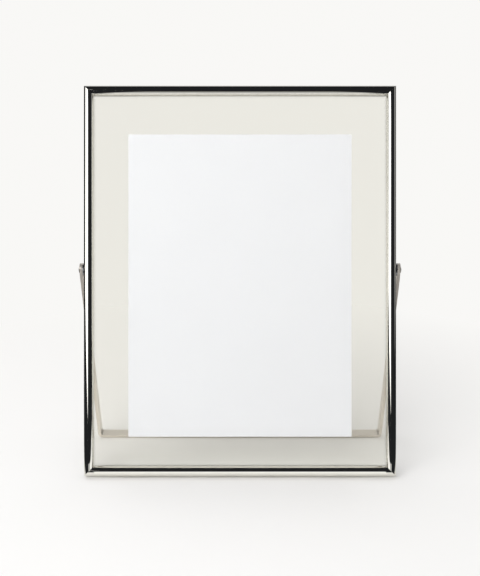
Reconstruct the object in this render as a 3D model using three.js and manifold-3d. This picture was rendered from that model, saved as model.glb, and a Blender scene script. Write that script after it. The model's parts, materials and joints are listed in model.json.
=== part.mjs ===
// A standing glass picture frame. Four mitred rails of rolled C-section hold two panes of glass with a
// card floating between them. The top rail pulls off on its corner keys, so that the panes slide out.
// A stand bent from flat bar turns on a screw in each side rail. Millimetres, +Z up.
import * as THREE from 'three';
import { mergeVertices } from 'three/addons/utils/BufferGeometryUtils.js';
import Module from 'manifold-3d';

// Overall sizes
const frameWidth = 180;
const frameHeight = 225;

// Rail section: a half-round bead whose inner edge meets the front pane, and a lip behind the rear pane
const wall = 0.7;
const beadWidth = 5.5;
const beadEdge = 0.4;
const rearLip = 4.9;
const lipEdgeRadius = 0.3;
const backRadius = 2;
const cornerRadius = 0.6;
const beadRadius = beadWidth / 2;

// Glazing
const glassThickness = 2;
const glassArris = 0.25;
const cardThickness = 0.4;
const cardSideMargin = 25.3;
const cardTopMargin = 27.6;
const cardBottomMargin = 22.2;
const layerGap = 0.15;
const rearGap = 0.3;
const edgeGap = 0.3;

// Corner keys, which fill the channel outside the glass
const keyThickness = 1.9;
const keyLength = 18;
const keyLeadRadius = 0.6;
const keyClearance = 0.1;

// Stand, bent from flat bar
const barWidth = 6;
const barThickness = 1.8;
const standReach = 116.5;
const standTaper = 2.3;
const standBendRadius = 3.2;
const eyeTip = 3.8;
const eyeFlat = 5;
const openAngle = THREE.MathUtils.degToRad(26);

// Pivots
const pivotHeight = 119;
const shankDiameter = 2.5;
const headDiameter = 5.2;
const headHeight = 0.85;
const slotWidth = 0.7;
const slotDepth = 0.4;
const washerDiameter = 7.2;
const washerThickness = 0.6;
const nutLength = 8;
const nutCornerRadius = 0.8;
const pivotPlay = 0.05;
const holeClearance = 0.3;

// Facets to a quarter turn of an arc, and to a full turn of a revolved or drilled face
const quarterSteps = 7;
const turnSteps = 40;

// Sizes that follow from the ones above
const slotFront = beadRadius + beadEdge;
const frontGlassY = slotFront + layerGap;
const cardY = frontGlassY + glassThickness + layerGap;
const rearGlassY = cardY + cardThickness + layerGap;
const slotBack = rearGlassY + glassThickness + rearGap;
const railDepth = slotBack + wall;
const wallBack = railDepth - backRadius;
const glassInset = wall + keyClearance + keyThickness + edgeGap;
const cardWidth = frameWidth - 2 * cardSideMargin;
const cardHeight = frameHeight - cardTopMargin - cardBottomMargin;
const pivotY = (beadRadius + wallBack) / 2;
const holeDiameter = shankDiameter + 2 * holeClearance;
const washerFace = frameWidth / 2 + pivotPlay;
const legFace = washerFace + washerThickness + pivotPlay;
const headFace = legFace + barThickness + pivotPlay;

const wasm = await Module();
wasm.setup();

// Materials
const chrome = (name, roughness) =>
  new THREE.MeshStandardMaterial({ name, color: 0xd9d7d2, metalness: 1, roughness });
const railMetal = chrome('polished_rail', 0.06);
const standMetal = chrome('stand_bar', 0.2);
const steel = new THREE.MeshStandardMaterial({ color: 0x9a9a98, metalness: 1, roughness: 0.4 });
const glass = new THREE.MeshStandardMaterial({
  color: 0xe4ebe6, roughness: 0.03, transparent: true, opacity: 0.3,
});
const card = new THREE.MeshStandardMaterial({ color: 0xf2f3f5, roughness: 0.8 });

// A closed outline from corners [x, y, radius]. Each corner with a radius becomes an arc that is
// tangent to both of its sides.
function outline(corners) {
  const points = [];
  const add = (point) => {
    const last = points[points.length - 1];
    if (!last || last.distanceTo(point) > 1e-4) points.push(point);
  };
  corners.forEach(([x, y, radius = 0], i) => {
    const corner = new THREE.Vector2(x, y);
    if (radius === 0) {
      add(corner);
      return;
    }
    const [px, py] = corners[(i + corners.length - 1) % corners.length];
    const [nx, ny] = corners[(i + 1) % corners.length];
    const back = new THREE.Vector2(px - x, py - y).normalize();
    const ahead = new THREE.Vector2(nx - x, ny - y).normalize();
    const half = Math.acos(THREE.MathUtils.clamp(back.dot(ahead), -1, 1)) / 2;
    const centre = back.clone().add(ahead).normalize().multiplyScalar(radius / Math.sin(half)).add(corner);
    const start = back.clone().multiplyScalar(radius / Math.tan(half)).add(corner).sub(centre);
    const end = ahead.clone().multiplyScalar(radius / Math.tan(half)).add(corner).sub(centre);
    const turn = Math.atan2(start.cross(end), start.dot(end));
    const steps = Math.max(2, Math.ceil((Math.abs(turn) / (Math.PI / 2)) * quarterSteps));
    for (let k = 0; k <= steps; k++) {
      add(start.clone().rotateAround(new THREE.Vector2(), (turn * k) / steps).add(centre));
    }
  });
  if (points[0].distanceTo(points[points.length - 1]) < 1e-4) points.pop();
  return points;
}

const extrude = (corners, depth, holes = []) => {
  const shape = new THREE.Shape(outline(corners));
  shape.holes = holes;
  return new THREE.ExtrudeGeometry(shape, { depth, bevelEnabled: false, curveSegments: turnSteps / 2 });
};

// Solids for cutting and joining
function toSolid(geometry) {
  const bare = geometry.clone();
  bare.deleteAttribute('normal');
  bare.deleteAttribute('uv');
  const merged = mergeVertices(bare, 1e-4);
  return new wasm.Manifold(new wasm.Mesh({
    numProp: 3,
    vertProperties: merged.attributes.position.array,
    triVerts: new Uint32Array(merged.index.array),
  }));
}

function toGeometry(solid) {
  const mesh = solid.getMesh();
  const indexed = new THREE.BufferGeometry()
    .setAttribute('position', new THREE.BufferAttribute(mesh.vertProperties, 3))
    .setIndex(new THREE.BufferAttribute(mesh.triVerts, 1));
  const geometry = indexed.toNonIndexed();
  geometry.computeVertexNormals();
  return geometry;
}

const cut = (geometry, ...tools) =>
  toGeometry(tools.reduce((solid, tool) => solid.subtract(toSolid(tool)), toSolid(geometry)));

// A round cutter along X through (y, z)
const drill = (diameter, length, x, y, z) =>
  new THREE.CylinderGeometry(diameter / 2, diameter / 2, length, turnSteps)
    .rotateZ(Math.PI / 2)
    .translate(x, y, z);

// Section of the rolled rail: x runs inwards from the outer edge and y back from the face
const railSection = [
  [0, 0, beadRadius],
  [beadWidth, 0, beadRadius],
  [beadWidth, slotFront],
  [beadWidth - wall, slotFront],
  [beadWidth - wall, wall, beadRadius - wall],
  [wall, wall, beadRadius - wall],
  [wall, slotBack, backRadius - wall],
  [rearLip, slotBack],
  [rearLip, railDepth, lipEdgeRadius],
  [0, railDepth, backRadius],
];

// A mitred rail along X with its outer edge at z = 0. Each end draws back by the distance inwards, and
// the frame's outer corner is rounded across the mitre.
function railGeometry(length) {
  const geometry = extrude(railSection, 1);
  const position = geometry.attributes.position;
  for (let i = 0; i < position.count; i++) {
    const inwards = position.getX(i);
    const end = position.getZ(i) > 0.5 ? -1 : 1;
    position.setXYZ(i, end * (length / 2 - inwards), position.getY(i), inwards);
  }
  const margin = 1;
  const rounded = extrude([
    [-length / 2, 0, cornerRadius],
    [length / 2, 0, cornerRadius],
    [length / 2, beadWidth + margin],
    [-length / 2, beadWidth + margin],
  ], railDepth + 2 * margin);
  rounded.rotateX(Math.PI / 2).translate(0, railDepth + margin, 0);
  return toGeometry(toSolid(geometry).intersect(toSolid(rounded)));
}

// A side rail, turned upright on the left, with the pivot hole through its outer wall
function sideRailGeometry() {
  const rail = railGeometry(frameHeight).rotateY(Math.PI / 2);
  rail.translate(-frameWidth / 2, 0, frameHeight / 2);
  return cut(rail, drill(holeDiameter, 4 * wall, -frameWidth / 2, pivotY, pivotHeight));
}

// An L-shaped key for the bottom left corner, drawn in the plane of the frame. It is as deep as the
// flat of the outer wall, between the curve of the bead and the rounded back edge.
function cornerKeyGeometry() {
  const near = wall + keyClearance;
  const far = near + keyThickness;
  const key = extrude([
    [near, near],
    [keyLength, near, keyLeadRadius],
    [keyLength, far, keyLeadRadius],
    [far, far],
    [far, keyLength, keyLeadRadius],
    [near, keyLength, keyLeadRadius],
  ], wallBack - beadRadius);
  return key.rotateX(Math.PI / 2).translate(-frameWidth / 2, wallBack, 0);
}

// A pane with ground edges, standing on its bottom edge with its front face at y
function paneGeometry(width, height, y) {
  const flat = glassThickness - 2 * glassArris;
  const shape = new THREE.Shape(outline([
    [-width / 2, 0], [width / 2, 0], [width / 2, height], [-width / 2, height],
  ]));
  const pane = new THREE.ExtrudeGeometry(shape, {
    depth: flat, bevelThickness: glassArris, bevelSize: glassArris, bevelOffset: -glassArris, bevelSegments: 1,
  });
  return pane.rotateX(Math.PI / 2).translate(0, y + glassThickness - glassArris, 0);
}

// The stand with its pivots at z = 0 and its foot at z = -standReach. The front view of the bent bar
// is intersected with its side view, which rounds the eyes.
function standGeometry() {
  const eye = legFace + barThickness;
  const foot = eye - standTaper;
  const inner = standBendRadius - barThickness;
  const front = extrude([
    [-eye, eyeTip],
    [-eye, -eyeFlat],
    [-foot, -standReach, standBendRadius],
    [foot, -standReach, standBendRadius],
    [eye, -eyeFlat],
    [eye, eyeTip],
    [eye - barThickness, eyeTip],
    [eye - barThickness, -eyeFlat],
    [foot - barThickness, -standReach + barThickness, inner],
    [-foot + barThickness, -standReach + barThickness, inner],
    [-eye + barThickness, -eyeFlat],
    [-eye + barThickness, eyeTip],
  ], barWidth).rotateX(Math.PI / 2).translate(0, barWidth / 2, 0);
  const margin = 1;
  const side = extrude([
    [-barWidth / 2, -standReach - margin],
    [barWidth / 2, -standReach - margin],
    [barWidth / 2, eyeTip, barWidth / 2],
    [-barWidth / 2, eyeTip, barWidth / 2],
  ], 2 * (eye + margin)).translate(0, 0, -eye - margin);
  side.rotateY(Math.PI / 2).rotateX(Math.PI / 2);
  const blank = toGeometry(toSolid(front).intersect(toSolid(side)));
  return cut(blank, drill(holeDiameter, 2 * (eye + margin), 0, 0, 0));
}

// A slotted screw along X, its domed head outwards and its shank ending short of the glass
function screwGeometry() {
  const shankEnd = frameWidth / 2 - glassInset + edgeGap;
  const radius = headDiameter / 2;
  const domeRadius = (radius ** 2 + headHeight ** 2) / (2 * headHeight);
  const domeSteps = 8;
  const profile = [new THREE.Vector2(0, shankEnd), new THREE.Vector2(shankDiameter / 2, shankEnd)];
  profile.push(new THREE.Vector2(shankDiameter / 2, headFace));
  for (let k = 0; k <= domeSteps; k++) {
    const reach = radius * Math.cos((Math.PI / 2) * (k / domeSteps));
    const rise = Math.sqrt(domeRadius ** 2 - reach ** 2) - (domeRadius - headHeight);
    profile.push(new THREE.Vector2(k === domeSteps ? 0 : reach, headFace + rise));
  }
  const screw = new THREE.LatheGeometry(profile, turnSteps).rotateZ(-Math.PI / 2);
  const slot = new THREE.BoxGeometry(2 * slotDepth, slotWidth, 2 * headDiameter);
  slot.translate(headFace + headHeight, 0, 0);
  return cut(screw, slot);
}

function washerGeometry() {
  const disc = drill(washerDiameter, washerThickness, washerFace + washerThickness / 2, 0, 0);
  return cut(disc, drill(holeDiameter, 4 * washerThickness, washerFace, 0, 0));
}

// A tapped plate against the flat of the side rail's wall, between it and the glass
function nutPlateGeometry() {
  const depth = wallBack - beadRadius;
  const plate = extrude([
    [-nutLength / 2, -depth / 2, nutCornerRadius],
    [nutLength / 2, -depth / 2, nutCornerRadius],
    [nutLength / 2, depth / 2, nutCornerRadius],
    [-nutLength / 2, depth / 2, nutCornerRadius],
  ], keyThickness).rotateY(-Math.PI / 2);
  const outer = frameWidth / 2 - wall - keyClearance;
  plate.translate(outer, 0, 0);
  return cut(plate, drill(holeDiameter, 4 * keyThickness, outer, 0, 0));
}

function named(name, geometry, material) {
  const mesh = new THREE.Mesh(geometry, material);
  mesh.name = name;
  return mesh;
}

// The frame, in its own plane: x across, y back from the face and z up from its bottom edge
const frame = new THREE.Group();
frame.add(named('bottom_rail', railGeometry(frameWidth), railMetal));
frame.add(named('left_rail', sideRailGeometry(), railMetal));
frame.add(named('bottom_left_key', cornerKeyGeometry(), steel));
frame.add(named('front_glass',
  paneGeometry(frameWidth - 2 * glassInset, frameHeight - 2 * glassInset, frontGlassY), glass));
frame.add(named('rear_glass',
  paneGeometry(frameWidth - 2 * glassInset, frameHeight - 2 * glassInset, rearGlassY), glass));
for (const name of ['front_glass', 'rear_glass']) frame.getObjectByName(name).position.z = glassInset;

const cardMesh = named('photo_card', new THREE.BoxGeometry(cardWidth, cardThickness, cardHeight), card);
cardMesh.position.set(0, cardY + cardThickness / 2, cardBottomMargin + cardHeight / 2);
frame.add(cardMesh);

// A copy turned half round in the plane of the frame, for the opposite side
function opposite(name, source) {
  const copy = named(name, source.geometry.clone().rotateY(Math.PI), source.material);
  copy.position.z = frameHeight;
  return copy;
}
frame.add(opposite('top_rail', frame.getObjectByName('bottom_rail')));
frame.add(opposite('top_right_key', frame.getObjectByName('bottom_left_key')));

// A mirrored copy for the right side. A negative scale keeps the faces pointing out.
function mirrored(name, source) {
  const copy = named(name, source.geometry, source.material);
  copy.position.copy(source.position);
  copy.scale.x = -1;
  return copy;
}
frame.add(mirrored('right_rail', frame.getObjectByName('left_rail')));
frame.add(mirrored('bottom_right_key', frame.getObjectByName('bottom_left_key')));
frame.add(mirrored('top_left_key', frame.getObjectByName('top_right_key')));

// Screw, washer and nut plate of each pivot
const pivot = new THREE.Group();
pivot.position.set(0, pivotY, pivotHeight);
frame.add(pivot);
const pivotPieces = {
  pivot_screw: [screwGeometry(), standMetal],
  pivot_washer: [washerGeometry(), steel],
  pivot_nut_plate: [nutPlateGeometry(), steel],
};
for (const [piece, [geometry, material]] of Object.entries(pivotPieces)) {
  const right = named('right_' + piece, geometry, material);
  pivot.add(right, mirrored('left_' + piece, right));
}

const stand = named('stand_bail', standGeometry(), standMetal);
stand.rotation.x = openAngle;
pivot.add(stand);

// The lean at which the table touches the rounded heel of the bottom rail and one edge of the stand's
// foot: side is -1 for its front edge and 1 for its rear edge.
function leanOnto(side) {
  const edge = new THREE.Vector2(side * (barWidth / 2), -standReach)
    .rotateAround(new THREE.Vector2(), openAngle)
    .add(new THREE.Vector2(pivotY, pivotHeight));
  const fromHeel = edge.sub(new THREE.Vector2(wallBack, backRadius));
  return Math.atan2(fromHeel.y, fromHeel.x) + Math.asin(backRadius / fromHeel.length());
}

// The frame leans back until the first edge of the foot touches.
frame.rotation.x = -Math.min(leanOnto(-1), leanOnto(1));

// Origin on the table, under the middle of the whole frame
const model = new THREE.Group();
model.add(frame);
const box = new THREE.Box3().setFromObject(model, true);
frame.position.set(0, -(box.min.y + box.max.y) / 2, -box.min.z);

export default model;
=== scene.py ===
"""A standing picture frame of polished metal rails round two panes of glass, on a pale table."""
import json
import math

import bmesh
import bpy
from mathutils import Matrix, Vector

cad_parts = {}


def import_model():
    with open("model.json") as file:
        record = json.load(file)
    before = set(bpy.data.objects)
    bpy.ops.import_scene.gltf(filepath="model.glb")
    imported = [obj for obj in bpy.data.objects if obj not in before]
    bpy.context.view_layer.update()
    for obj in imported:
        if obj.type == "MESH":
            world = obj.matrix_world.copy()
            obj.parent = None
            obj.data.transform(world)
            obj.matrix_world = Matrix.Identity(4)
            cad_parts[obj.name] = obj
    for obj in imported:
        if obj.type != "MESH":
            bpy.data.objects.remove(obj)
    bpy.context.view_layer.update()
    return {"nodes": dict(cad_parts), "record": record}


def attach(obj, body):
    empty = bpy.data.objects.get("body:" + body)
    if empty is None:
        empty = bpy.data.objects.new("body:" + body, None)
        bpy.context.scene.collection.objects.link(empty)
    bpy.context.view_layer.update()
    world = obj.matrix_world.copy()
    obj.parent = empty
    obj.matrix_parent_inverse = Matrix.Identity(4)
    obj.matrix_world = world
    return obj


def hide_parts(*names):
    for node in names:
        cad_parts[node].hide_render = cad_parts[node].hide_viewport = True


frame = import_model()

# A millimetre in the scene's metres, and how many millimetres apart two points still count as one
MM = 0.001
SAME_POINT = 1e-4

joints = {joint["name"]: joint for joint in frame["record"]["behaviour"]["joints"]}

# The rails' section, in millimetres: x inwards from the outer edge and y back from the face
WALL = 0.7
BEAD = 5.5
BEAD_EDGE = 0.4
REAR_LIP = 4.9
LIP_RADIUS = 0.3
BACK_RADIUS = 2.0
RAIL_DEPTH = 9.0
CORNER_RADIUS = 0.6
FRAME_WIDTH = 180.0
FRAME_HEIGHT = 225.0
SEAM = 0.045

# The stand and its pivots
PIVOT_HEIGHT = 119.0
PIVOT_Y = 4.875
SHANK = 2.5
HEAD = 5.2
HEAD_HEIGHT = 0.85
HEAD_FACE = 92.55
SLOT_WIDTH = 0.7
SLOT_DEPTH = 0.4
SHANK_END = 87.3
HOLE = 3.1
DRILL_LENGTH = 6.0
BAR_WIDTH = 6.0
BAR_THICKNESS = 1.8
STAND_REACH = 116.5
STAND_EYE = 92.5
STAND_FOOT = 90.2
BEND_RADIUS = 3.2
EYE_TIP = 3.8
EYE_FLAT = 5.0
OPEN_ANGLE = math.radians(26)

# The card
CARD_WIDTH = 129.4
CARD_HEIGHT = 175.2
CARD_BOTTOM = 22.2
CARD_THICKNESS = 0.4
CARD_Y = 5.65
CARD_CORNER = 0.5

# How far the sharp edges are rounded
RAIL_SOFTENING = 0.16
BAR_SOFTENING = 0.22
FINE_SOFTENING = 0.06

# How finely the round shapes are divided
QUARTER_STEPS = 20
CARD_CORNER_STEPS = 8
DRILL_STEPS = 64
SCREW_STEPS = 72
DOME_STEPS = 12

# The camera looks square onto the face of the frame
CAMERA_DISTANCE = 458.8
CAMERA_HEIGHT = 108.4
LENS = 50.0
SENSOR = 36.0

# The frame's own directions, from the way that its top rail lifts
across = Vector((1, 0, 0))
up = Vector(joints["top_rail_lift"]["axis"]).normalized()
back = up.cross(across)
pivot = Vector(joints["stand_swing"]["pos_m"])
corner = pivot - back * PIVOT_Y * MM - up * PIVOT_HEIGHT * MM


def placed(origin, x_axis, y_axis, z_axis):
    """The matrix from local millimetres to the scene."""
    turned = Matrix((x_axis, y_axis, z_axis)).transposed().to_4x4()
    return Matrix.Translation(origin) @ turned @ Matrix.Scale(MM, 4)


FRAME = placed(corner, across, back, up)
PIVOT = placed(pivot, across, back, up)


def upright(depth):
    """The turn that stands a flat outline up as a front view and puts it depth behind the face."""
    return Matrix(((1, 0, 0, 0), (0, 0, -1, depth), (0, 1, 0, 0), (0, 0, 0, 1)))


def sideways(start):
    """The turn that makes a flat outline a side view, from start on across the frame."""
    return Matrix(((0, 0, 1, start), (1, 0, 0, 0), (0, 1, 0, 0), (0, 0, 0, 1)))


def outline(corners, quarter=QUARTER_STEPS):
    """A closed outline from corners (x, y, radius), with an arc at each corner that has a radius."""
    points = []
    for i, (x, y, *rest) in enumerate(corners):
        here = Vector((x, y))
        if not rest:
            points.append(here)
            continue
        radius = rest[0]
        to_last = (Vector(corners[i - 1][:2]) - here).normalized()
        to_next = (Vector(corners[(i + 1) % len(corners)][:2]) - here).normalized()
        half = math.acos(max(-1, min(1, to_last.dot(to_next)))) / 2
        centre = here + (to_last + to_next).normalized() * radius / math.sin(half)
        start = here + to_last * radius / math.tan(half) - centre
        turn = start.angle_signed(here + to_next * radius / math.tan(half) - centre)
        steps = max(2, math.ceil(abs(turn) / (math.pi / 2) * quarter))
        for k in range(steps + 1):
            arm = start.copy()
            arm.rotate(Matrix.Rotation(-turn * k / steps, 2))
            points.append(centre + arm)
    clean = []
    for point in points:
        if not clean or (point - clean[-1]).length > SAME_POINT:
            clean.append(point)
    if (clean[0] - clean[-1]).length < SAME_POINT:
        clean.pop()
    return clean


def mesh_object(name, bm, matrix):
    """A new object from a bmesh in local millimetres."""
    bmesh.ops.recalc_face_normals(bm, faces=bm.faces)
    mesh = bpy.data.meshes.new(name)
    bm.to_mesh(mesh)
    bm.free()
    mesh.transform(matrix)
    piece = bpy.data.objects.new(name, mesh)
    bpy.context.collection.objects.link(piece)
    return piece


def prism(points, depth, name="prism", matrix=Matrix.Identity(4)):
    """The outline in x and y, extruded along z from 0 to depth."""
    bm = bmesh.new()
    low = [bm.verts.new((x, y, 0)) for x, y in points]
    high = [bm.verts.new((x, y, depth)) for x, y in points]
    bm.faces.new(low)
    bm.faces.new(high)
    for i in range(len(points)):
        j = (i + 1) % len(points)
        bm.faces.new((low[i], low[j], high[j], high[i]))
    return mesh_object(name, bm, matrix)


def applied(piece):
    """Replaces the piece's mesh with what its modifiers make of it."""
    graph = bpy.context.evaluated_depsgraph_get()
    mesh = bpy.data.meshes.new_from_object(piece.evaluated_get(graph))
    piece.modifiers.clear()
    piece.data = mesh
    return piece


def boolean(piece, tool, operation):
    """Cuts or intersects the piece with the tool, which is used up."""
    cut = piece.modifiers.new("cut", "BOOLEAN")
    cut.operation = operation
    cut.solver = "EXACT"
    cut.object = tool
    applied(piece)
    bpy.data.objects.remove(tool)
    return piece


def softened(piece, width, segments=3, angle=35, smooth=35):
    """Rounds the sharp edges by width millimetres, and shades the curved faces smooth."""
    merge = bmesh.new()
    merge.from_mesh(piece.data)
    bmesh.ops.remove_doubles(merge, verts=merge.verts, dist=SAME_POINT * MM)
    bmesh.ops.dissolve_limit(merge, angle_limit=math.radians(0.5), verts=merge.verts, edges=merge.edges)
    merge.to_mesh(piece.data)
    merge.free()
    bevel = piece.modifiers.new("soft_edges", "BEVEL")
    bevel.width = width * MM
    bevel.segments = segments
    bevel.limit_method = "ANGLE"
    bevel.angle_limit = math.radians(angle)
    bevel.harden_normals = False
    applied(piece)
    piece.data.shade_smooth()
    piece.data.set_sharp_from_angle(angle=math.radians(smooth))
    weighted = piece.modifiers.new("even_shading", "WEIGHTED_NORMAL")
    weighted.keep_sharp = True
    return applied(piece)


# Materials

def node_material(name):
    """A new material with its nodes, its links and its main shader."""
    material = bpy.data.materials.new(name)
    material.use_nodes = True
    nodes = material.node_tree.nodes
    return material, nodes, material.node_tree.links, nodes["Principled BSDF"]


def noise(nodes, links, scale, detail=3.0, stretch=(1, 1, 1)):
    """A noise value fixed to the object, scale in cells to the metre."""
    place = nodes.new("ShaderNodeTexCoord")
    mapping = nodes.new("ShaderNodeMapping")
    mapping.inputs["Scale"].default_value = stretch
    texture = nodes.new("ShaderNodeTexNoise")
    texture.inputs["Scale"].default_value = scale
    texture.inputs["Detail"].default_value = detail
    links.new(place.outputs["Object"], mapping.inputs["Vector"])
    links.new(mapping.outputs["Vector"], texture.inputs["Vector"])
    return texture.outputs["Fac"]


def ranged(nodes, links, value, low, high, start=0.3, end=0.7):
    """The value spread evenly from low at start to high at end."""
    spread = nodes.new("ShaderNodeMapRange")
    spread.inputs["From Min"].default_value = start
    spread.inputs["From Max"].default_value = end
    spread.inputs["To Min"].default_value = low
    spread.inputs["To Max"].default_value = high
    links.new(value, spread.inputs["Value"])
    return spread.outputs["Result"]


def blended(nodes, links, value, first, second):
    """A colour between first and second."""
    mix = nodes.new("ShaderNodeMix")
    mix.data_type = "RGBA"
    mix.inputs["A"].default_value = (*first, 1)
    mix.inputs["B"].default_value = (*second, 1)
    links.new(value, mix.inputs["Factor"])
    return mix.outputs["Result"]


def bumped(nodes, links, shader, value, distance, strength=0.5):
    """Raises the surface by the value, at most distance metres."""
    bump = nodes.new("ShaderNodeBump")
    bump.inputs["Distance"].default_value = distance
    bump.inputs["Strength"].default_value = strength
    links.new(value, bump.inputs["Height"])
    links.new(bump.outputs["Normal"], shader.inputs["Normal"])


def metal(name, light, dark, rough_low, rough_high, wave, wave_height, stretch=(1, 1, 1), metallic=1):
    """Plated metal: slow changes of tone, finer changes of polish and a slight waviness."""
    material, nodes, links, shader = node_material(name)
    shader.inputs["Metallic"].default_value = metallic
    tone = ranged(nodes, links, noise(nodes, links, 35, 2), 0, 1)
    links.new(blended(nodes, links, tone, dark, light), shader.inputs["Base Color"])
    polish = noise(nodes, links, 420, 4, stretch)
    links.new(ranged(nodes, links, polish, rough_low, rough_high), shader.inputs["Roughness"])
    bumped(nodes, links, shader, noise(nodes, links, wave, 2, stretch), wave_height)
    return material


def clear_glass():
    """Float glass that lamps shine through."""
    material, nodes, links, shader = node_material("clear_glass")
    shader.inputs["Base Color"].default_value = (0.957, 0.952, 0.925, 1)
    shader.inputs["Transmission Weight"].default_value = 1
    shader.inputs["IOR"].default_value = 1.5
    shader.inputs["Roughness"].default_value = 0
    rays = nodes.new("ShaderNodeLightPath")
    lamp = nodes.new("ShaderNodeBsdfTransparent")
    lamp.inputs["Color"].default_value = (0.96, 0.965, 0.955, 1)
    mix = nodes.new("ShaderNodeMixShader")
    links.new(rays.outputs["Is Shadow Ray"], mix.inputs[0])
    links.new(shader.outputs[0], mix.inputs[1])
    links.new(lamp.outputs[0], mix.inputs[2])
    links.new(mix.outputs[0], nodes["Material Output"].inputs["Surface"])
    return material


def card_stock():
    """Smooth white card with a faint fibre."""
    material, nodes, links, shader = node_material("card_stock")
    tone = ranged(nodes, links, noise(nodes, links, 60, 4), 0, 1)
    colour = blended(nodes, links, tone, (0.898, 0.905, 0.958), (0.908, 0.915, 0.968))
    links.new(colour, shader.inputs["Base Color"])
    shader.inputs["Roughness"].default_value = 0.75
    shader.inputs["Specular IOR Level"].default_value = 0.3
    bumped(nodes, links, shader, noise(nodes, links, 2600, 5), 0.00003, 0.4)
    return material


NICKEL = metal("polished_nickel", (0.83, 0.815, 0.76), (0.80, 0.785, 0.73), 0.03, 0.07, 90, 0.000005)
STAND_NICKEL = metal(
    "satin_nickel", (0.78, 0.722, 0.645), (0.755, 0.697, 0.62), 0.28, 0.32, 500, 0.0000004, (1, 1, 0.2), 0.7
)
ZINC = metal("zinc_plate", (0.60, 0.61, 0.62), (0.52, 0.53, 0.55), 0.30, 0.45, 500, 0.00003)
GLASS = clear_glass()
CARD = card_stock()


def dressed(piece, material):
    """Gives the piece its one material."""
    piece.data.materials.clear()
    piece.data.materials.append(material)
    return piece


def stands_for(piece, node, body, material):
    """Puts a modelled piece in the place of a CAD node."""
    dressed(piece, material)
    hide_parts(node)
    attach(piece, body)


# Rails

RAIL_SECTION = (
    (0, 0, BEAD / 2),
    (BEAD, 0, BEAD / 2),
    (BEAD, BEAD / 2 + BEAD_EDGE),
    (BEAD - WALL, BEAD / 2 + BEAD_EDGE),
    (BEAD - WALL, WALL, BEAD / 2 - WALL),
    (WALL, WALL, BEAD / 2 - WALL),
    (WALL, RAIL_DEPTH - WALL, BACK_RADIUS - WALL),
    (REAR_LIP, RAIL_DEPTH - WALL),
    (REAR_LIP, RAIL_DEPTH, LIP_RADIUS),
    (0, RAIL_DEPTH, BACK_RADIUS),
)


half_width = FRAME_WIDTH / 2
half_height = FRAME_HEIGHT / 2
rounded_frame = outline((
    (-half_width, 0, CORNER_RADIUS),
    (half_width, 0, CORNER_RADIUS),
    (half_width, FRAME_HEIGHT, CORNER_RADIUS),
    (-half_width, FRAME_HEIGHT, CORNER_RADIUS),
))
X = Vector((1, 0, 0))
Z = Vector((0, 0, 1))


def round_bar(radius, length, middle, matrix):
    """A cutter along x, centred on middle."""
    turns = [math.tau * k / DRILL_STEPS for k in range(DRILL_STEPS)]
    ring = [Vector((math.cos(turn), math.sin(turn))) * radius for turn in turns]
    return prism(ring, length, "cutter", matrix @ sideways(middle - length / 2))


def rail(name, body, length, inwards, along, start):
    """A mitred rail. Its section's x runs inwards, and it runs along both ways from start."""
    section = outline(RAIL_SECTION)
    bm = bmesh.new()
    ends = []
    for side in (-1, 1):
        ring = []
        for x, y in section:
            reach = side * (length / 2 - SEAM - x)
            spot = start + along * reach + inwards * x
            ring.append(bm.verts.new((spot.x, y, spot.z)))
        ends.append(ring)
        bm.faces.new(ring)
    for i in range(len(section)):
        j = (i + 1) % len(section)
        bm.faces.new((ends[0][i], ends[0][j], ends[1][j], ends[1][i]))
    piece = mesh_object(name + "_polished", bm, FRAME)
    block = prism(rounded_frame, RAIL_DEPTH + 2, "cutter", FRAME @ upright(RAIL_DEPTH + 1))
    boolean(piece, block, "INTERSECT")
    if along == Z:
        drill = round_bar(HOLE / 2, DRILL_LENGTH, start.x, PIVOT)
        boolean(piece, drill, "DIFFERENCE")
    softened(piece, RAIL_SOFTENING)
    stands_for(piece, name, body, NICKEL)


rail("bottom_rail", "frame", FRAME_WIDTH, Z, X, Vector((0, 0, 0)))
rail("top_rail", "top_rail", FRAME_WIDTH, -Z, X, Z * FRAME_HEIGHT)
rail("left_rail", "frame", FRAME_HEIGHT, X, Z, -X * half_width + Z * half_height)
rail("right_rail", "frame", FRAME_HEIGHT, -X, Z, X * half_width + Z * half_height)


# Stand and screws

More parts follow.
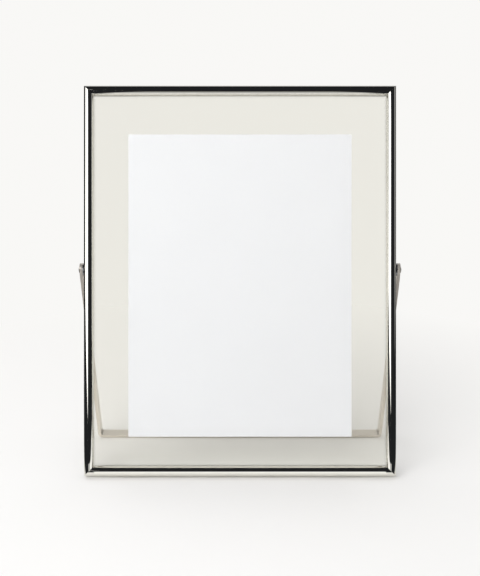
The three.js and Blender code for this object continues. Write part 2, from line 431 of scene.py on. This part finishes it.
def stand():
    """The bent bar: its front view intersected with its side view, which rounds the eyes."""
    inner = BEND_RADIUS - BAR_THICKNESS
    front = outline((
        (-STAND_EYE, EYE_TIP),
        (-STAND_EYE, -EYE_FLAT),
        (-STAND_FOOT, -STAND_REACH, BEND_RADIUS),
        (STAND_FOOT, -STAND_REACH, BEND_RADIUS),
        (STAND_EYE, -EYE_FLAT),
        (STAND_EYE, EYE_TIP),
        (STAND_EYE - BAR_THICKNESS, EYE_TIP),
        (STAND_EYE - BAR_THICKNESS, -EYE_FLAT),
        (STAND_FOOT - BAR_THICKNESS, -STAND_REACH + BAR_THICKNESS, inner),
        (-STAND_FOOT + BAR_THICKNESS, -STAND_REACH + BAR_THICKNESS, inner),
        (-STAND_EYE + BAR_THICKNESS, -EYE_FLAT),
        (-STAND_EYE + BAR_THICKNESS, EYE_TIP),
    ))
    side = outline((
        (-BAR_WIDTH / 2, -STAND_REACH - 1),
        (BAR_WIDTH / 2, -STAND_REACH - 1),
        (BAR_WIDTH / 2, EYE_TIP, BAR_WIDTH / 2),
        (-BAR_WIDTH / 2, EYE_TIP, BAR_WIDTH / 2),
    ))
    opened = PIVOT @ Matrix.Rotation(OPEN_ANGLE, 4, "X")
    bar = prism(front, BAR_WIDTH, "stand_bail_satin", opened @ upright(BAR_WIDTH / 2))
    block = prism(side, 2 * STAND_EYE + 2, "cutter", opened @ sideways(-STAND_EYE - 1))
    boolean(bar, block, "INTERSECT")
    for eye in (-STAND_EYE, STAND_EYE):
        boolean(bar, round_bar(HOLE / 2, DRILL_LENGTH, eye, opened), "DIFFERENCE")
    softened(bar, BAR_SOFTENING)
    stands_for(bar, "stand_bail", "stand", STAND_NICKEL)


def screw(side):
    """A slotted screw with a low dome, its axis along x."""
    radius = HEAD / 2
    dome = (radius ** 2 + HEAD_HEIGHT ** 2) / (2 * HEAD_HEIGHT)
    profile = [(SHANK_END, 0), (SHANK_END, SHANK / 2), (HEAD_FACE, SHANK / 2), (HEAD_FACE, radius)]
    for k in range(1, DOME_STEPS + 1):
        reach = radius * math.cos(math.pi / 2 * k / DOME_STEPS)
        profile.append((HEAD_FACE + math.sqrt(dome ** 2 - reach ** 2) - dome + HEAD_HEIGHT, reach))
    profile[-1] = (profile[-1][0], 0)
    bm = bmesh.new()
    rings = []
    for x, r in profile:
        count = 1 if r == 0 else SCREW_STEPS
        turns = [math.tau * k / SCREW_STEPS for k in range(count)]
        rings.append([bm.verts.new((side * x, r * math.cos(a), r * math.sin(a))) for a in turns])
    for first, second in zip(rings, rings[1:]):
        for k in range(SCREW_STEPS):
            j = (k + 1) % SCREW_STEPS
            edge = [first[k % len(first)], first[j % len(first)]]
            next_edge = [second[j % len(second)], second[k % len(second)]]
            bm.faces.new(list(dict.fromkeys(edge + next_edge)))
    name = "left" if side < 0 else "right"
    piece = mesh_object(name + "_pivot_screw_domed", bm, PIVOT)
    half_slot = SLOT_WIDTH / 2
    slot = [(-HEAD, -half_slot), (HEAD, -half_slot), (HEAD, half_slot), (-HEAD, half_slot)]
    low = side * (HEAD_FACE + HEAD_HEIGHT) - SLOT_DEPTH
    turn = Matrix(((0, 0, 1, low), (0, 1, 0, 0), (1, 0, 0, 0), (0, 0, 0, 1)))
    boolean(piece, prism(slot, 2 * SLOT_DEPTH, "cutter", PIVOT @ turn), "DIFFERENCE")
    softened(piece, FINE_SOFTENING, 2, 40, 40)
    stands_for(piece, name + "_pivot_screw", "frame", NICKEL)


stand()
screw(-1)
screw(1)


# Card, glass and the pieces inside the rails

def card():
    """A stiff card with cut corners that are only just round."""
    half = CARD_WIDTH / 2
    top = CARD_BOTTOM + CARD_HEIGHT
    shape = outline((
        (-half, CARD_BOTTOM, CARD_CORNER),
        (half, CARD_BOTTOM, CARD_CORNER),
        (half, top, CARD_CORNER),
        (-half, top, CARD_CORNER),
    ), CARD_CORNER_STEPS)
    turned = FRAME @ upright(CARD_Y + CARD_THICKNESS / 2)
    piece = prism(shape, CARD_THICKNESS, "photo_card_bare", turned)
    softened(piece, FINE_SOFTENING, 2)
    stands_for(piece, "photo_card", "frame", CARD)


card()
for node in ("front_glass", "rear_glass"):
    dressed(frame["nodes"][node], GLASS)
for side in ("left", "right"):
    for node in (f"{side}_pivot_washer", f"{side}_pivot_nut_plate", f"bottom_{side}_key", f"top_{side}_key"):
        dressed(frame["nodes"][node], ZINC)
        frame["nodes"][node].data.shade_smooth()
        frame["nodes"][node].data.set_sharp_from_angle(angle=math.radians(30))


# Table, backdrop and light

BACKDROP = (0.945, 0.938, 0.92)
ROOM = (0.016, 0.017, 0.019)
WALL_MIRRORED = (0.16, 0.155, 0.145)
SKY_LIGHT = (0.62, 0.62, 0.62)
COOL = (0.98, 0.995, 1.03)

# The table, in metres. The metal mirrors a patch of it, from in front of the frame to under it. Outside the
# patch the table is painted the dark room colour for mirrored rays, and from DIMMED_BACK forwards it is
# painted DIMMED dark for them: a painted reflection.
TABLE_SIZE = 12.0
TABLE_TOP = -0.0001
FADE_START = 0.07
FADE_END = 0.33
MIRRORED_HALF_WIDTH = 0.105
MIRRORED_SIDE_EDGE = 0.02
MIRRORED_FRONT = -0.45
MIRRORED_FRONT_EDGE = 0.1
DIMMED = 0.5
DIMMED_FRONT = -0.16
DIMMED_BACK = -0.07

# The directions in which the metal mirrors the wall behind: y backwards and z up
WALL_BEGINS = 0.55
WALL_FULL = 0.85
WALL_TOP = 0.25
WALL_ENDS = 0.55


def math_node(nodes, links, operation, first, second):
    """What the operation makes of two values."""
    node = nodes.new("ShaderNodeMath")
    node.operation = operation
    links.new(first, node.inputs[0])
    links.new(second, node.inputs[1])
    return node.outputs[0]


def mirrored_ray(nodes, links, rays):
    """1 for a ray that a surface mirrors, and 0 for one that glass lets through."""
    difference = math_node(
        nodes, links, "SUBTRACT", rays.outputs["Is Glossy Ray"], rays.outputs["Is Transmission Ray"]
    )
    return math_node(nodes, links, "GREATER_THAN", difference, rays.outputs["Is Camera Ray"])


def table_top():
    """A pale table that fades into the backdrop. For rays that the metal mirrors, it is painted dark outside
    a patch and half dark in front: a painted reflection of a dim room.
    """
    material, nodes, links, shader = node_material("table")
    tone = ranged(nodes, links, noise(nodes, links, 6, 3), 0, 1)
    colour = blended(nodes, links, tone, (0.855, 0.842, 0.821), (0.867, 0.854, 0.833))
    links.new(colour, shader.inputs["Base Color"])
    shader.inputs["Roughness"].default_value = 0.9
    place = nodes.new("ShaderNodeTexCoord")
    length = nodes.new("ShaderNodeVectorMath")
    length.operation = "LENGTH"
    links.new(place.outputs["Object"], length.inputs[0])
    far = ranged(nodes, links, length.outputs["Value"], 0, 1, FADE_START, FADE_END)
    sky = nodes.new("ShaderNodeEmission")
    sky.inputs["Color"].default_value = (*BACKDROP, 1)
    fade = nodes.new("ShaderNodeMixShader")
    links.new(far, fade.inputs[0])
    links.new(shader.outputs[0], fade.inputs[1])
    links.new(sky.outputs[0], fade.inputs[2])
    # Painted reflection: for rays that the metal mirrors, the table is painted the dark room colour beside
    # and ahead of the patch. From DIMMED_BACK forwards it is painted half dark.
    rays = nodes.new("ShaderNodeLightPath")
    split = nodes.new("ShaderNodeSeparateXYZ")
    links.new(place.outputs["Object"], split.inputs[0])
    aside = nodes.new("ShaderNodeMath")
    aside.operation = "ABSOLUTE"
    links.new(split.outputs["X"], aside.inputs[0])
    side_end = MIRRORED_HALF_WIDTH + MIRRORED_SIDE_EDGE
    beside = ranged(nodes, links, aside.outputs[0], 0, 1, MIRRORED_HALF_WIDTH, side_end)
    front_end = MIRRORED_FRONT - MIRRORED_FRONT_EDGE
    ahead = ranged(nodes, links, split.outputs["Y"], 1, 0, front_end, MIRRORED_FRONT)
    painted_half_dark = ranged(nodes, links, split.outputs["Y"], DIMMED, 0, DIMMED_FRONT, DIMMED_BACK)
    edge = math_node(nodes, links, "MAXIMUM", beside, math_node(nodes, links, "MAXIMUM", ahead, painted_half_dark))
    painted_reflection_mask = math_node(nodes, links, "MULTIPLY", edge, mirrored_ray(nodes, links, rays))
    dark = nodes.new("ShaderNodeEmission")
    dark.inputs["Color"].default_value = (*ROOM, 1)
    room = nodes.new("ShaderNodeMixShader")
    links.new(painted_reflection_mask, room.inputs[0])
    links.new(fade.outputs[0], room.inputs[1])
    links.new(dark.outputs[0], room.inputs[2])
    links.new(room.outputs[0], nodes["Material Output"].inputs["Surface"])
    return material


def table():
    """A square far wider than what the camera sees of it."""
    bm = bmesh.new()
    half = TABLE_SIZE / 2
    corners = [(-half, -half), (half, -half), (half, half), (-half, half)]
    bm.faces.new([bm.verts.new((x, y, TABLE_TOP)) for x, y in corners])
    piece = mesh_object("table", bm, Matrix.Identity(4))
    dressed(piece, table_top())


def world():
    """A pale backdrop behind the table and a dim room in front of it."""
    scene_world = bpy.data.worlds.new("studio")
    bpy.context.scene.world = scene_world
    scene_world.use_nodes = True
    nodes = scene_world.node_tree.nodes
    links = scene_world.node_tree.links
    seen = nodes["Background"]
    seen.inputs["Color"].default_value = (*BACKDROP, 1)
    place = nodes.new("ShaderNodeTexCoord")
    split = nodes.new("ShaderNodeSeparateXYZ")
    links.new(place.outputs["Generated"], split.inputs[0])
    behind = ranged(nodes, links, split.outputs["Y"], 0, 1, WALL_BEGINS, WALL_FULL)
    low = ranged(nodes, links, split.outputs["Z"], 1, 0, WALL_TOP, WALL_ENDS)
    wall = math_node(nodes, links, "MULTIPLY", behind, low)
    room = nodes.new("ShaderNodeBackground")
    links.new(blended(nodes, links, wall, ROOM, WALL_MIRRORED), room.inputs["Color"])
    rays = nodes.new("ShaderNodeLightPath")
    seen_ray = rays.outputs["Is Camera Ray"]
    plain = math_node(nodes, links, "MAXIMUM", seen_ray, rays.outputs["Is Transmission Ray"])
    soft = nodes.new("ShaderNodeBackground")
    soft.inputs["Color"].default_value = (*SKY_LIGHT, 1)
    diffuse = nodes.new("ShaderNodeMixShader")
    links.new(rays.outputs["Is Diffuse Ray"], diffuse.inputs[0])
    links.new(room.outputs[0], diffuse.inputs[1])
    links.new(soft.outputs[0], diffuse.inputs[2])
    mix = nodes.new("ShaderNodeMixShader")
    links.new(plain, mix.inputs[0])
    links.new(diffuse.outputs[0], mix.inputs[1])
    links.new(seen.outputs[0], mix.inputs[2])
    links.new(mix.outputs[0], nodes["World Output"].inputs["Surface"])


def softbox(name, place, target, width, height, power, glossy=True, diffuse=True, colour=(1, 1, 1)):
    """A lamp that faces its target. It shows in metal if it is glossy, and lights the rest if diffuse."""
    light = bpy.data.lights.new(name, "AREA")
    light.shape = "RECTANGLE"
    light.size = width
    light.size_y = height
    light.energy = power
    light.color = colour
    lamp = bpy.data.objects.new(name, light)
    bpy.context.collection.objects.link(lamp)
    lamp.location = place
    lamp.rotation_euler = (Vector(target) - Vector(place)).to_track_quat("-Z", "Y").to_euler()
    lamp.visible_glossy = glossy
    lamp.visible_diffuse = diffuse
    lamp.visible_transmission = False
    lamp.visible_camera = False
    # A lamp that nothing mirrors is sampled only from the lit surface, because the panes would hide part
    # of its light from the card otherwise.
    light.cycles.use_multiple_importance_sampling = glossy


def camera():
    """Looks square onto the leaning frame, as in the photograph."""
    data = bpy.data.cameras.new("camera")
    data.lens = LENS
    data.sensor_width = SENSOR
    data.sensor_fit = "AUTO"
    eye = bpy.data.objects.new("camera", data)
    bpy.context.collection.objects.link(eye)
    turned = Matrix((across, up, -back)).transposed().to_4x4()
    spot = corner + up * CAMERA_HEIGHT * MM - back * CAMERA_DISTANCE * MM
    eye.matrix_world = Matrix.Translation(spot) @ turned
    bpy.context.scene.camera = eye


table()
world()
LEFT_PLACE = (-0.755, -0.68, 0.50)
LEFT_TARGET = (0, 0, 0.50)
FOOT = (0, 0, 0.08)
softbox("left_softbox", LEFT_PLACE, LEFT_TARGET, 1.27, 0.68, 5.2, diffuse=False)
softbox("left_fill", LEFT_PLACE, LEFT_TARGET, 1.27, 0.68, 3.2, glossy=False)
softbox("front_softbox", (-0.5, -0.9, 0.75), FOOT, 1.1, 0.8, 7.2, glossy=False, colour=COOL)
softbox("overhead_softbox", (-0.25, 0.38, 1.35), FOOT, 1.3, 0.9, 6.0, glossy=False, colour=COOL)
softbox("right_panel", (0.55, 0.03, 0.475), (0, 0.03, 0.475), 0.26, 0.85, 0.23)
softbox("rear_softbox", (0.0, 0.9, 0.9), (0, 0, 0.05), 1.0, 0.6, 1.4, diffuse=False)
softbox("table_edge", (0.0, -0.047, 0.005), (0, 0, 0.005), 0.172, 0.010, 0.0032, diffuse=False)
camera()
bpy.context.scene.view_settings.view_transform = "Standard"
